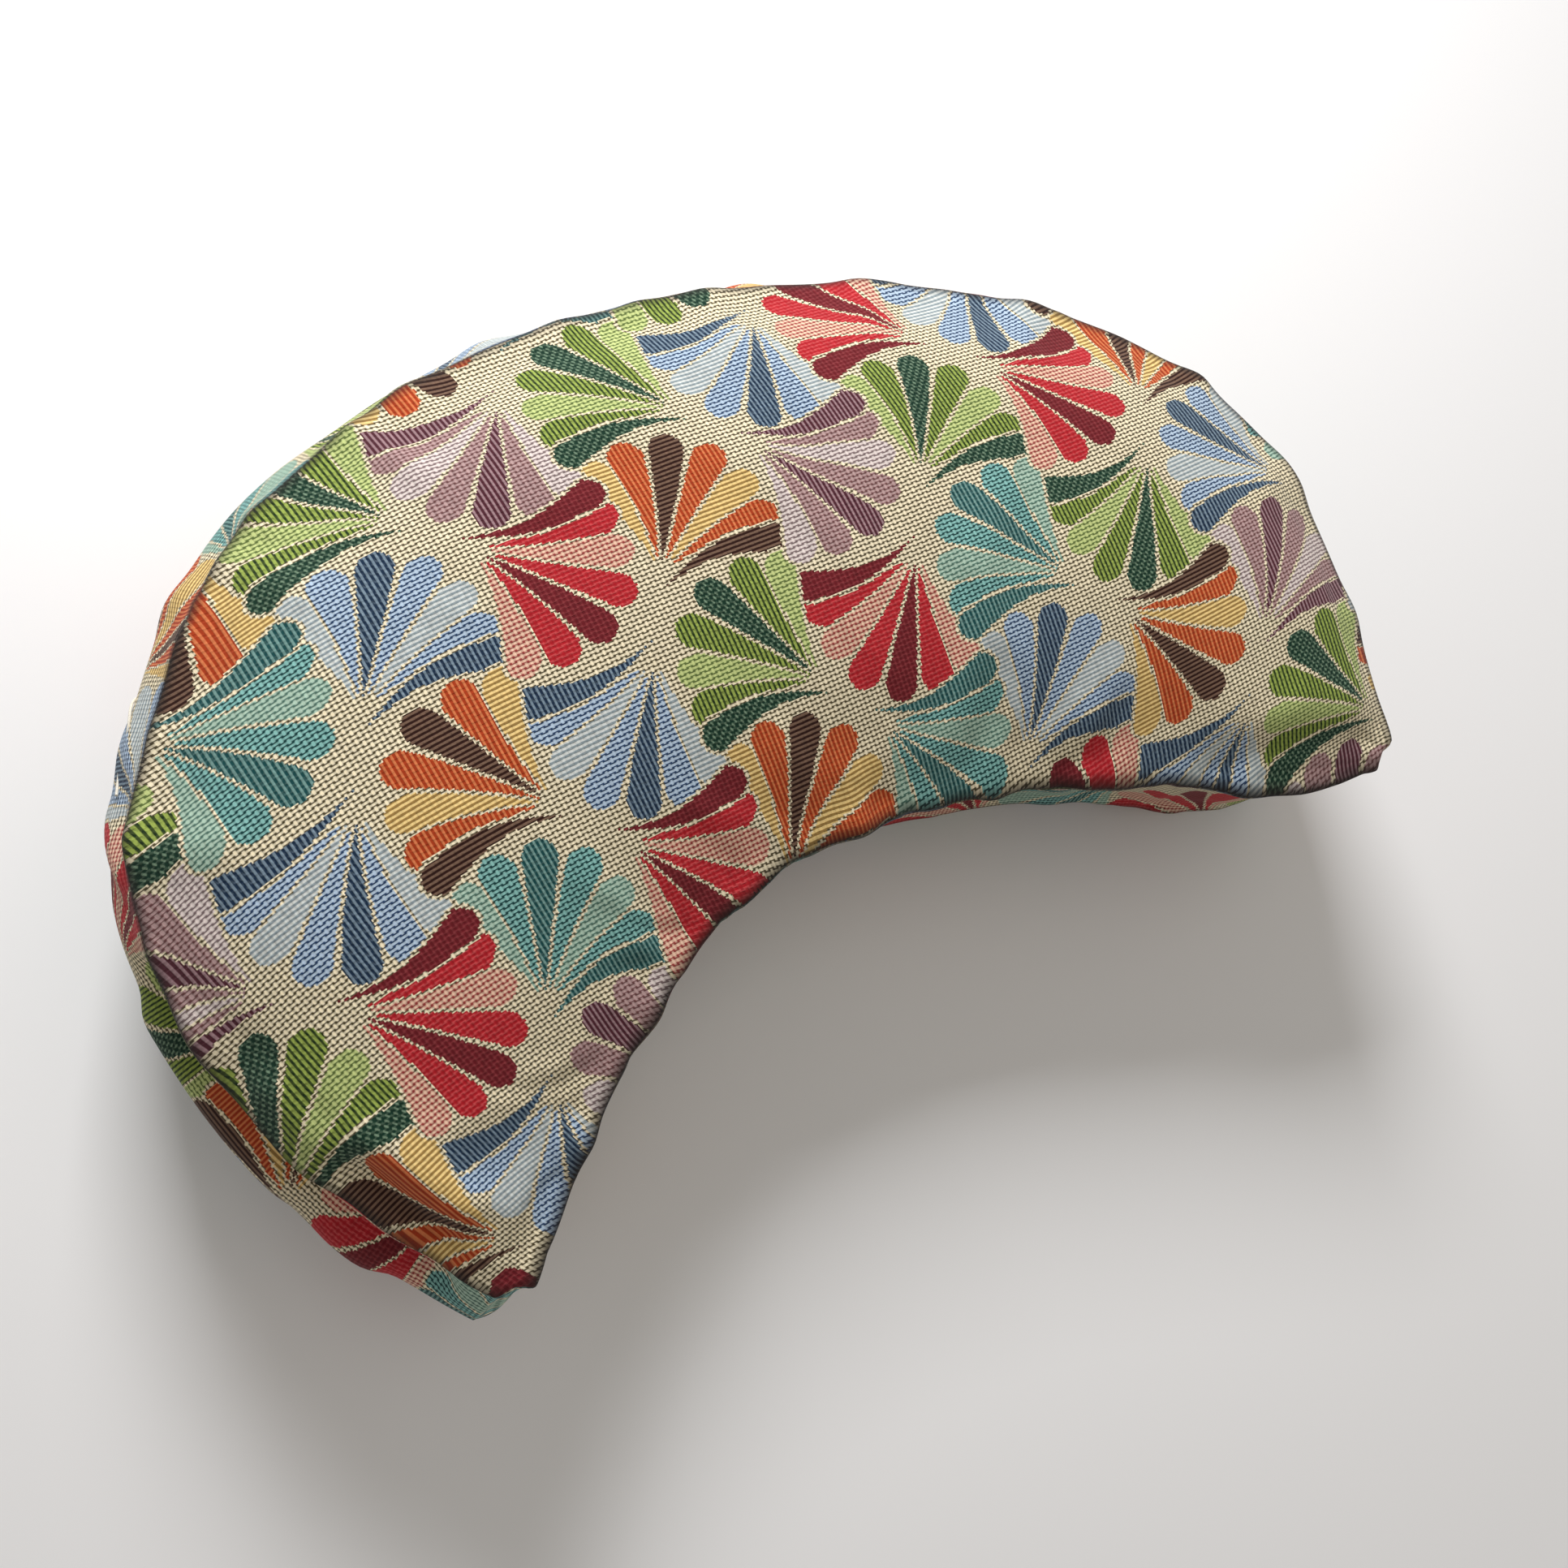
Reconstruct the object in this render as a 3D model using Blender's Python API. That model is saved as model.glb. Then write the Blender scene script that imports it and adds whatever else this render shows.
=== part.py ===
"""Crescent meditation cushion: one firmly filled solid of two crescent panels and a side band.

Metres, +Z up. +X runs from the left heel to the right heel of the crescent, +Y points to the
convex back, and the origin is under the middle of the outline, on the floor.
"""

import math

import bmesh
import bpy
import numpy as np
from mathutils import Vector

MM = 0.001

# Heights of the two seams above the floor, and how far the top panel swells above its seam
TOP_SEAM_HEIGHT = 97 * MM
BOTTOM_SEAM_HEIGHT = 24 * MM
CROWN_RISE = 29 * MM
FULL_CROWN_WIDTH = 190 * MM

# The bottom seam lies this far inside the top one, and the bottom panel is flat inside a margin
BOTTOM_INSET = 4 * MM
BOTTOM_ROUNDING = 34 * MM
HEEL_SWELL = 4 * MM

# Both seams are drawn in along a narrow groove, more where the cloth puckers
SEAM_GROOVE_DEPTH = 2.6 * MM
SEAM_GROOVE_WIDTH = 7 * MM
PUCKER_REACH = 16 * MM

# Faces along the crescent, across a panel and up the band
FACES_ALONG = 88
FACES_ACROSS = 16
FACES_UP = 10

CLOTH_COLOUR = (0.62, 0.53, 0.38, 1.0)
CLOTH_ROUGHNESS = 0.85

# Top seam in mm from the middle between the heels, a row for each section from the left heel to
# the right heel. Columns: back_x, back_y, bay_x, bay_y, back_swell, bay_swell. The last two say
# how far the band swells past the seam on the convex and on the concave side.
SECTIONS = (
    (-184, 4, -177, 2, 19, 1),
    (-210, 57, -155, 20, 19, 2),
    (-226, 114, -133, 37, 14, 3),
    (-220, 173, -109, 52, 16, 4),
    (-186, 221, -85, 65, 17, 4),
    (-140, 258, -58, 74, 18, 4),
    (-84, 276, -30, 77, 16, 4),
    (-25, 279, -2, 75, 14, 3),
    (33, 267, 25, 68, 14, 2),
    (90, 247, 52, 59, 16, 1),
    (140, 215, 78, 48, 15, 0),
    (182, 173, 102, 34, 14, 0),
    (205, 120, 125, 18, 13, 0),
    (201, 60, 149, 4, 12, 0),
    (184, 3, 177, -1, 6, 0),
)

# Creases and dips of the top panel, in mm and in the frame of the sections.
# Columns: start_x, start_y, end_x, end_y, half_width, rise (below 0 for a trough)
PANEL_FOLDS = (
    # dip beside the left heel, and two wrinkles across it
    (-206, 88, -184, 30, 13, -4.5),
    (-198, 66, -176, 58, 6, 2.0),
    (-198, 46, -176, 38, 6, -2.0),
    # slack corner of the left heel
    (-184, 14, -170, 22, 8, -2.5),
    # creases that run from the back seam into the panel
    (-218, 184, -192, 168, 7, -2.2),
    (-150, 256, -134, 230, 7, -2.0),
    (-92, 280, -80, 248, 6, -3.0),
    (46, 268, 38, 238, 7, -2.2),
    (96, 246, 86, 224, 6, -1.8),
    (152, 210, 132, 190, 7, -2.0),
    (206, 112, 186, 106, 7, -1.8),
    # roll of slack cloth along the bay seam of the right heel, and the trough beside it
    (120, 30, 170, 9, 7, 3.0),
    (128, 44, 174, 22, 8, -3.0),
    # short creases from the bay seam
    (-86, 64, -94, 80, 6, -1.8),
    (-4, 74, -4, 92, 6, -1.6),
    (76, 48, 84, 64, 6, -1.8),
)

# Folds of the band. Columns: side (0 back, 1 bay), start_along, start_up, end_along, end_up,
# half_width in mm, rise in mm. Along is 0 at the left heel and 1 at the right, up is 1 at the top.
BAND_FOLDS = (
    # ridge that stands over the top seam near the left heel, and the crease under it
    (0, 0.05, 0.90, 0.20, 0.86, 8, 4.5),
    (0, 0.07, 0.68, 0.19, 0.62, 6, -4.0),
    # swells of the back band
    (0, 0.63, 0.80, 0.67, 0.75, 15, 3.5),
    (0, 0.42, 0.55, 0.44, 0.30, 14, 2.5),
    # slack folds down the back band
    (0, 0.24, 0.86, 0.25, 0.35, 8, -3.0),
    (0, 0.33, 0.80, 0.32, 0.30, 8, -2.5),
    (0, 0.49, 0.82, 0.50, 0.30, 9, -2.5),
    (0, 0.60, 0.80, 0.59, 0.25, 8, -2.5),
    (0, 0.74, 0.80, 0.76, 0.30, 9, -2.5),
    (0, 0.87, 0.85, 0.86, 0.35, 8, -3.0),
    # slack folds down the bay band
    (1, 0.22, 0.85, 0.24, 0.30, 8, -2.5),
    (1, 0.46, 0.80, 0.45, 0.30, 9, -2.0),
    (1, 0.71, 0.85, 0.73, 0.30, 8, -2.5),
)

# Puckers of both seams, on the convex side and on the concave side.
# Columns: place along the crescent, half_width in mm, depth in mm
BACK_PUCKERS = (
    (0.09, 7, 2.2),
    (0.16, 9, 1.6),
    (0.24, 7, 2.4),
    (0.31, 8, 1.5),
    (0.37, 7, 2.0),
    (0.45, 9, 2.4),
    (0.52, 7, 1.4),
    (0.58, 8, 2.2),
    (0.66, 9, 1.6),
    (0.73, 7, 2.2),
    (0.81, 8, 1.5),
    (0.88, 7, 2.1),
    (0.94, 8, 1.6),
)
BAY_PUCKERS = (
    (0.12, 7, 1.6),
    (0.24, 8, 2.0),
    (0.37, 7, 1.4),
    (0.49, 8, 1.8),
    (0.62, 7, 1.3),
    (0.74, 8, 1.9),
    (0.87, 7, 1.6),
)


def clear_scene():
    """Removes the objects of the starting scene."""
    for old in list(bpy.data.objects):
        bpy.data.objects.remove(old)


def smooth_step(value):
    """Rises smoothly from 0 to 1 as the value does."""
    value = min(max(value, 0.0), 1.0)
    return value * value * (3.0 - 2.0 * value)


def bell(distance, half_width):
    """A soft bump of height 1 that has faded out at about twice its half width."""
    return math.exp(-((distance / half_width) ** 2))


def section(along):
    """The columns of SECTIONS, in metres, on a smooth curve through the rows."""
    spans = len(SECTIONS) - 1
    place = min(max(along, 0.0), 1.0) * spans
    first = min(int(place), spans - 1)
    part = place - first
    rows = [min(max(first + step, 0), spans) for step in (-1, 0, 1, 2)]
    before, start, end, after = (np.array(SECTIONS[row]) * MM for row in rows)
    return 0.5 * (
        2.0 * start
        + (end - before) * part
        + (2.0 * before - 5.0 * start + 4.0 * end - after) * part**2
        + (3.0 * start - before - 3.0 * end + after) * part**3
    )


def outward(along, column):
    """Unit vector in plan, square to the back seam (column 0) or bay seam (2), off the filling."""
    step = 0.004
    x_run, y_run = (section(along + step) - section(along - step))[column:column + 2]
    square = np.array((-y_run, x_run)) / math.hypot(x_run, y_run)
    return square if column == 0 else -square


def seam_edges(along, up):
    """Plan points of the band on the convex and on the concave side, at a height from 0 to 1."""
    row = section(along)
    swell = max(math.sin(math.pi * up), 0.0) ** 0.8
    inset = BOTTOM_INSET * (1.0 - up)
    back = row[0:2] + outward(along, 0) * (row[4] * swell - inset)
    bay = row[2:4] + outward(along, 2) * (row[5] * swell - inset)
    return back, bay


def panel_width(along):
    """Width of the panels across the crescent."""
    row = section(along)
    return math.hypot(row[0] - row[2], row[1] - row[3])


def crown_share(along, across):
    """Height of the filling's crown, 1 in the middle of the widest stretch and 0 at the seam."""
    fullness = min(panel_width(along) / FULL_CROWN_WIDTH, 1.0) ** 0.8
    return fullness * (1.0 - abs(2.0 * across - 1.0) ** 2.2) ** 0.85


def flat_share(along, across):
    """How far the bottom panel has come down from its seam to the floor, from 0 to 1."""
    side = min(across, 1.0 - across) * panel_width(along)
    heel = min(along, 1.0 - along) * 4.0 * FULL_CROWN_WIDTH
    return smooth_step(min(side, heel) / BOTTOM_ROUNDING)


def filled_point(along, across, up):
    """Place of a point of the divided box on the smooth filled form."""
    back, bay = seam_edges(along, up)
    plan = back + (bay - back) * across
    height = BOTTOM_SEAM_HEIGHT + (TOP_SEAM_HEIGHT - BOTTOM_SEAM_HEIGHT) * up
    if up == 1.0:
        height += CROWN_RISE * crown_share(along, across)
    elif up == 0.0:
        height -= BOTTOM_SEAM_HEIGHT * flat_share(along, across)
    if along in (0.0, 1.0):
        inner_row = section(abs(along - 0.1))
        away = (back + bay - inner_row[0:2] - inner_row[2:4]) / 2.0
        bulge = math.sin(math.pi * up) * math.sin(math.pi * across)
        plan = plan + away / np.linalg.norm(away) * (HEEL_SWELL * max(bulge, 0.0))
    return np.array((plan[0], plan[1], height))


def divided_box():
    """A unit cube with its faces divided along, across and up."""
    box = bmesh.new()
    bmesh.ops.create_cube(box, size=1.0)
    for axis, count in enumerate((FACES_ALONG, FACES_ACROSS, FACES_UP)):
        normal = Vector((0.0, 0.0, 0.0))
        normal[axis] = 1.0
        for cut in range(1, count):
            bmesh.ops.bisect_plane(
                box,
                geom=box.verts[:] + box.edges[:] + box.faces[:],
                dist=1e-6,
                plane_co=normal * (cut / count - 0.5),
                plane_no=normal,
            )
    return box


def ease_to_ends(value):
    """Moves values between 0 and 1 a little towards the nearer end, where the seams are."""
    return value - 0.6 * math.sin(2.0 * math.pi * value) / (2.0 * math.pi)


def seam_lines():
    """Points of the four seam lines, and how deep their puckers are there."""
    points = []
    depths = []
    steps = 3 * FACES_ALONG
    for across, puckers in ((0.0, BACK_PUCKERS), (1.0, BAY_PUCKERS)):
        centres = [filled_point(along, across, 1.0)[:2] for along, _, _ in puckers]
        for up in (0.0, 1.0):
            for step in range(steps + 1):
                point = filled_point(step / steps, across, up)
                point[2] = TOP_SEAM_HEIGHT if up else BOTTOM_SEAM_HEIGHT
                depth = 0.0
                for centre, (_, half_width, pucker_depth) in zip(centres, puckers):
                    away = np.linalg.norm(point[:2] - centre)
                    depth += pucker_depth * MM * bell(away, half_width * MM)
                points.append(point)
                depths.append(depth)
    return np.array(points), np.array(depths)


def drawn_in(point, seams):
    """How far the seam groove and its puckers draw a point into the filling."""
    points, depths = seams
    distances = np.linalg.norm(points - point, axis=1)
    nearest = int(distances.argmin())
    away = float(distances[nearest])
    groove = SEAM_GROOVE_DEPTH * bell(away, SEAM_GROOVE_WIDTH)
    return groove + depths[nearest] * bell(away, PUCKER_REACH)


def distance_to_run(point, start, end):
    """Distance from a point to the straight run between two others."""
    run = end - start
    part = min(max(float(np.dot(point - start, run) / np.dot(run, run)), 0.0), 1.0)
    return float(np.linalg.norm(point - start - run * part))


def panel_fold_rise(point):
    """How far the folds raise a point of the top panel."""
    rise = 0.0
    for start_x, start_y, end_x, end_y, half_width, height in PANEL_FOLDS:
        start = np.array((start_x, start_y)) * MM
        end = np.array((end_x, end_y)) * MM
        away = distance_to_run(point[:2], start, end)
        rise += height * MM * bell(away, half_width * MM)
    return rise


def band_fold_paths():
    """Each band fold as a chain of points on the band, with its half width and rise."""
    steps = 6
    paths = []
    for side, start_along, start_up, end_along, end_up, half_width, rise in BAND_FOLDS:
        chain = []
        for step in range(steps + 1):
            part = step / steps
            along = start_along + (end_along - start_along) * part
            up = start_up + (end_up - start_up) * part
            chain.append(filled_point(along, float(side), up))
        paths.append((chain, half_width * MM, rise * MM))
    return paths


def band_fold_rise(point, paths):
    """How far the folds raise a point of the band."""
    rise = 0.0
    for chain, half_width, height in paths:
        away = min(distance_to_run(point, *ends) for ends in zip(chain, chain[1:]))
        rise += height * bell(away, half_width)
    return rise


def centre_outline(form):
    """Moves the form in plan, so that the middle of its bounding box is over the origin."""
    for axis in (0, 1):
        places = [vertex.co[axis] for vertex in form.verts]
        middle = (min(places) + max(places)) / 2.0
        for vertex in form.verts:
            vertex.co[axis] -= middle


def cushion_mesh():
    """The filled form with its drawn-in seams, puckers and folds."""
    form = divided_box()
    tops = set()
    bands = set()
    for vertex in form.verts:
        along, across, up = (round(value + 0.5, 6) for value in vertex.co)
        if up == 1.0:
            tops.add(vertex.index)
        if up > 0.0:
            bands.add(vertex.index)
        vertex.co = filled_point(along, ease_to_ends(across), ease_to_ends(up))
    bmesh.ops.recalc_face_normals(form, faces=form.faces)
    form.normal_update()
    seams = seam_lines()
    paths = band_fold_paths()
    moves = []
    for vertex in form.verts:
        point = np.array(vertex.co)
        move = -drawn_in(point, seams) if point[2] > 0.2 * MM else 0.0
        if vertex.index in tops:
            move += panel_fold_rise(point)
        if vertex.index in bands:
            move += band_fold_rise(point, paths)
        moves.append(vertex.normal * move)
    for vertex, move in zip(form.verts, moves):
        vertex.co += move
        vertex.co.z = max(vertex.co.z, 0.0)
    centre_outline(form)
    mesh = bpy.data.meshes.new("cushion")
    form.to_mesh(mesh)
    form.free()
    mesh.shade_smooth()
    return mesh


def cloth_material():
    """Woven cloth in the cream of its ground."""
    material = bpy.data.materials.new("tapestry_cloth")
    material.use_nodes = True
    shader = material.node_tree.nodes["Principled BSDF"]
    shader.inputs["Base Color"].default_value = CLOTH_COLOUR
    shader.inputs["Roughness"].default_value = CLOTH_ROUGHNESS
    shader.inputs["Metallic"].default_value = 0.0
    return material


def main():
    """Builds the cushion in a collection of its own."""
    clear_scene()
    collection = bpy.data.collections.new("crescent_meditation_cushion")
    bpy.context.scene.collection.children.link(collection)
    cushion = bpy.data.objects.new("cushion", cushion_mesh())
    cushion.data.materials.append(cloth_material())
    collection.objects.link(cushion)


main()
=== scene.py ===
"""Crescent meditation cushion in a jacquard tapestry cloth, on a pale floor in soft studio light.

Metres, +Z up. +X runs from the left heel to the right heel of the crescent, +Y points to the
convex back, and the origin is under the middle of the outline, on the floor.
"""

import math

import bpy
import numpy as np
from mathutils import Matrix, Vector

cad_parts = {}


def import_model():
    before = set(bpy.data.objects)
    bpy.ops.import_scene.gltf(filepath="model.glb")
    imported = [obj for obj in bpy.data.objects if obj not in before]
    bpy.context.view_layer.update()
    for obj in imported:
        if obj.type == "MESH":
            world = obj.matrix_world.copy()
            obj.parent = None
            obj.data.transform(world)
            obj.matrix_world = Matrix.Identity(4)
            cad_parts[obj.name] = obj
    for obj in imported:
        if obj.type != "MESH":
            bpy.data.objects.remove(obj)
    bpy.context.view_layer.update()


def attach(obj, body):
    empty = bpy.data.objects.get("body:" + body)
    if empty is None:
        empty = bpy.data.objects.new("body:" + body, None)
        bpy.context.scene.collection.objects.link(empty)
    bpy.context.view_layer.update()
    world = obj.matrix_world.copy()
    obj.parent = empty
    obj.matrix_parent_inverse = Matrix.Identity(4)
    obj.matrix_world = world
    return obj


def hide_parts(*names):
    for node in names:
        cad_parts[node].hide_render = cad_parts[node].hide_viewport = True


MM = 0.001

# Heights of the two seams above the floor, and how far the top panel swells above its seam
TOP_SEAM_HEIGHT = 97 * MM
BOTTOM_SEAM_HEIGHT = 24 * MM
CROWN_RISE = 29 * MM
FULL_CROWN_WIDTH = 190 * MM

# The bottom seam lies this far inside the top one, and the bottom panel is flat inside a margin
BOTTOM_INSET = 4 * MM
BOTTOM_ROUNDING = 34 * MM
HEEL_SWELL = 4 * MM

# Both seams are drawn in along a narrow groove, more where the cloth puckers
SEAM_GROOVE_DEPTH = 2.6 * MM
SEAM_GROOVE_WIDTH = 7 * MM
PUCKER_REACH = 16 * MM
CREASE_DEPTH = 1.3 * MM
CREASE_WIDTH = 2.0 * MM

# The cover as cloth: blown up from within, with some slack in the panels and shorter seams
CLOTH_PRESSURE = 5.0
CLOTH_SLACK = 0.001
SEAM_SHRINK = 0.02
CLOTH_FRAMES = 20
CLOTH_CAP = 1.4 * MM
SWELL_ROUNDS = 40
FLAT_HEIGHT = 0.5 * MM

# From the frame of the sections to the frame of the object
SECTION_SHIFT = np.array((10.9, -143.8)) * MM

# Faces along the crescent, across a panel and up the band
FACES_ALONG = 168
FACES_ACROSS = 42
FACES_UP = 20

# Top seam in mm from the middle between the heels, a row for each section from the left heel to
# the right heel. Columns: back_x, back_y, bay_x, bay_y, back_swell, bay_swell. The last two say
# how far the band swells past the seam on the convex and on the concave side.
SECTIONS = (
    (-184, 4, -177, 2, 19, 1),
    (-210, 57, -155, 20, 19, 2),
    (-226, 114, -133, 37, 14, 3),
    (-220, 173, -109, 52, 16, 4),
    (-186, 221, -85, 65, 17, 4),
    (-140, 258, -58, 74, 18, 4),
    (-84, 276, -30, 77, 16, 4),
    (-25, 279, -2, 75, 14, 3),
    (33, 267, 25, 68, 14, 2),
    (90, 247, 52, 59, 16, 1),
    (140, 215, 78, 48, 15, 0),
    (182, 173, 102, 34, 14, 0),
    (205, 120, 125, 18, 13, 0),
    (201, 60, 149, 4, 12, 0),
    (184, 3, 177, -1, 6, 0),
)


def section(along):
    """The columns of SECTIONS, in metres, on a smooth curve through the rows."""
    rows = np.array(SECTIONS) * MM
    spans = len(SECTIONS) - 1
    place = np.clip(along, 0.0, 1.0) * spans
    first = np.minimum(place.astype(int), spans - 1)
    part = (place - first)[:, None]
    before, start, end, after = (rows[np.clip(first + step, 0, spans)] for step in (-1, 0, 1, 2))
    return 0.5 * (
        2.0 * start
        + (end - before) * part
        + (2.0 * before - 5.0 * start + 4.0 * end - after) * part**2
        + (3.0 * start - before - 3.0 * end + after) * part**3
    )


def square_off(along, column):
    """Unit vectors in plan, square to the back seam (column 0) or bay seam (2), off the filling."""
    step = 0.004
    run = (section(along + step) - section(along - step))[:, column:column + 2]
    square = np.stack((-run[:, 1], run[:, 0]), axis=1) / np.linalg.norm(run, axis=1)[:, None]
    return square if column == 0 else -square


def seam_edges(along, up):
    """Plan points of the band on the convex and on the concave side, at a height from 0 to 1."""
    row = section(along)
    swell = np.maximum(np.sin(math.pi * up), 0.0) ** 0.8
    inset = BOTTOM_INSET * (1.0 - up)
    back = row[:, 0:2] + square_off(along, 0) * (row[:, 4] * swell - inset)[:, None]
    bay = row[:, 2:4] + square_off(along, 2) * (row[:, 5] * swell - inset)[:, None]
    return back, bay


def panel_width(along):
    """Width of the panels across the crescent."""
    row = section(along)
    return np.hypot(row[:, 0] - row[:, 2], row[:, 1] - row[:, 3])


def crown_share(along, across):
    """Height of the filling's crown, 1 in the middle of the widest stretch and 0 at the seam."""
    fullness = np.minimum(panel_width(along) / FULL_CROWN_WIDTH, 1.0) ** 0.8
    return fullness * (1.0 - np.abs(2.0 * across - 1.0) ** 2.2) ** 0.85


def smooth_step(value):
    """Rises smoothly from 0 to 1 as the value does."""
    value = np.clip(value, 0.0, 1.0)
    return value * value * (3.0 - 2.0 * value)


def flat_share(along, across):
    """How far the bottom panel has come down from its seam to the floor, from 0 to 1."""
    side = np.minimum(across, 1.0 - across) * panel_width(along)
    heel = np.minimum(along, 1.0 - along) * 4.0 * FULL_CROWN_WIDTH
    return smooth_step(np.minimum(side, heel) / BOTTOM_ROUNDING)


def filled_points(along, across, up):
    """Places on the smooth filled form, in the frame of the object."""
    back, bay = seam_edges(along, up)
    plan = back + (bay - back) * across[:, None]
    height = BOTTOM_SEAM_HEIGHT + (TOP_SEAM_HEIGHT - BOTTOM_SEAM_HEIGHT) * up
    height = height + np.where(up == 1.0, CROWN_RISE * crown_share(along, across), 0.0)
    height = height - np.where(up == 0.0, BOTTOM_SEAM_HEIGHT * flat_share(along, across), 0.0)
    inner_row = section(np.abs(along - 0.1))
    away = (back + bay - inner_row[:, 0:2] - inner_row[:, 2:4]) / 2.0
    away = away / np.linalg.norm(away, axis=1)[:, None]
    bulge = np.maximum(np.sin(math.pi * up) * np.sin(math.pi * across), 0.0)
    bulge = np.where((along == 0.0) | (along == 1.0), bulge, 0.0)
    plan = plan + away * (HEEL_SWELL * bulge)[:, None] + SECTION_SHIFT
    return np.column_stack((plan, height))


# Sides of the divided box, each a layer of the case: its axis, and the low or the high end of it
SIDES = {"back": (1, 0), "bay": (1, 1), "left_heel": (0, 0), "right_heel": (0, 1), "under": (2, 0), "top": (2, 1)}

# Creases and dips of the top panel, in mm and in the frame of the sections.
# Columns: start_x, start_y, end_x, end_y, half_width, rise (below 0 for a trough)
PANEL_FOLDS = (
    # dip beside the left heel, with a roll and a trough along the seam
    (-206, 88, -184, 30, 13, -2.5),
    (-203, 62, -190, 28, 4.5, 3.2),
    (-196, 68, -181, 34, 6, -3.6),
    (-214, 96, -206, 70, 6, -3.0),
    # slack corner of the left heel
    (-184, 14, -170, 22, 8, -2.0),
    # creases that run from the back seam into the panel
    (-218, 184, -192, 168, 7, -2.2),
    (-150, 256, -134, 230, 7, -2.0),
    (-92, 280, -80, 248, 6, -3.0),
    (46, 268, 38, 238, 7, -2.2),
    (96, 246, 86, 224, 6, -1.8),
    (152, 210, 132, 190, 7, -2.0),
    (206, 112, 186, 106, 7, -1.8),
    # roll of slack cloth along the bay seam of the right heel, and the trough beside it
    (120, 30, 170, 9, 8, 1.8),
    (132, 44, 172, 23, 10, -1.6),
    # short creases from the bay seam
    (-86, 64, -94, 80, 6, -1.8),
    (-4, 74, -4, 92, 6, -1.6),
    (76, 48, 84, 64, 6, -1.8),
)

# Folds of the band. Columns: side (0 back, 1 bay), start_along, start_up, end_along, end_up,
# half_width in mm, rise in mm. Along is 0 at the left heel and 1 at the right, up is 1 at the top.
BAND_FOLDS = (
    # ridge that stands over the top seam near the left heel, and the crease under it
    (0, 0.03, 0.82, 0.18, 0.82, 7, 7.5),
    (0, 0.05, 0.58, 0.17, 0.58, 5, -6.0),
    (0, 0.07, 0.42, 0.16, 0.40, 10, 2.5),
    # gathers of the band at the widest part of the left end
    (0, 0.235, 0.92, 0.265, 0.74, 4, 2.2),
    (0, 0.22, 0.90, 0.245, 0.62, 4, -2.4),
    (0, 0.205, 0.90, 0.225, 0.66, 4, 2.2),
    # swells of the back band
    (0, 0.63, 0.80, 0.67, 0.75, 15, 3.5),
    (0, 0.42, 0.55, 0.44, 0.30, 14, 2.5),
    # slack folds down the back band
    (0, 0.265, 0.80, 0.275, 0.35, 10, -1.8),
    (0, 0.33, 0.80, 0.32, 0.30, 8, -2.5),
    (0, 0.49, 0.82, 0.50, 0.30, 9, -2.5),
    (0, 0.61, 0.70, 0.60, 0.25, 10, -1.8),
    (0, 0.75, 0.70, 0.77, 0.30, 11, -1.8),
    (0, 0.87, 0.85, 0.86, 0.35, 8, -3.0),
    # slack folds down the bay band
    (1, 0.22, 0.85, 0.24, 0.30, 8, -2.5),
    (1, 0.46, 0.80, 0.45, 0.30, 9, -2.0),
    (1, 0.71, 0.85, 0.73, 0.30, 8, -2.5),
)

# Puckers of both seams, on the convex side and on the concave side.
# Columns: place along the crescent, half_width in mm, depth in mm
BACK_PUCKERS = (
    (0.05, 12, 2.0),
    (0.09, 14, 3.0),
    (0.15, 14, 2.6),
    (0.24, 10, 1.2),
    (0.31, 8, 1.5),
    (0.37, 7, 2.0),
    (0.45, 9, 2.4),
    (0.52, 7, 1.4),
    (0.575, 12, 1.2),
    (0.66, 9, 1.6),
    (0.73, 12, 1.2),
    (0.81, 8, 1.5),
    (0.88, 7, 2.1),
    (0.94, 8, 1.6),
)
BAY_PUCKERS = (
    (0.12, 7, 1.6),
    (0.24, 8, 2.0),
    (0.37, 7, 1.4),
    (0.49, 8, 1.8),
    (0.62, 7, 1.3),
    (0.74, 8, 1.9),
    (0.87, 7, 1.6),
)


# How the cloth lies on the top panel: repeats across and along, as sums of these terms of the
# plan position in units of CLOTH_SPAN. Columns: 1, x, y, xx, xy, yy, xxx, xxy, xyy, yyy
CLOTH_SPAN = 200 * MM
LIE_ACROSS = (0.675, 2.03, -0.15, 0.11, -0.12, 0.14, -0.05, 0.36, 0.48, 0.21)
LIE_ALONG = (0.365, 0.195, 1.885, 0.10, 0.135, 0.0, -0.115, 0.05, -0.05, 0.145)

# Repeats by which the cloth of the band starts off, along the band and up it
BACK_LIE = (3.25, 2.65)
BAY_LIE = (2.7, 0.15)

# One repeat of the cloth in mm, and its yarns each way
REPEAT_ACROSS = 97.0
REPEAT_ALONG = 105.0
YARNS_ACROSS = 60
YARNS_ALONG = 66
GAP_SHARPNESS = 9.0

# A repeat holds four fans. Columns: root across, root along (repeats), opens to (signs), and the
# colour of the fan in each of 4 rows of 6 repeats: b blue, g green, t teal, r red, o orange, m mauve
FANS = (
    (0.456, 0.621, 1, 1, ("ogotgb", "tborgb", "btmbro", "obmogt")),
    (0.368, 0.494, -1, -1, ("brgtob", "mbbgro", "rogmbt", "gtbomb")),
    (-0.130, 0.121, -1, 1, ("ogtbbm", "ggromt", "tobgrb", "mbrggo")),
    (-0.037, 0.027, 1, -1, ("rtobmr", "rmrobt", "ogbtor", "gborbt")),
)
FAMILIES = "bgtrom"

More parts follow.
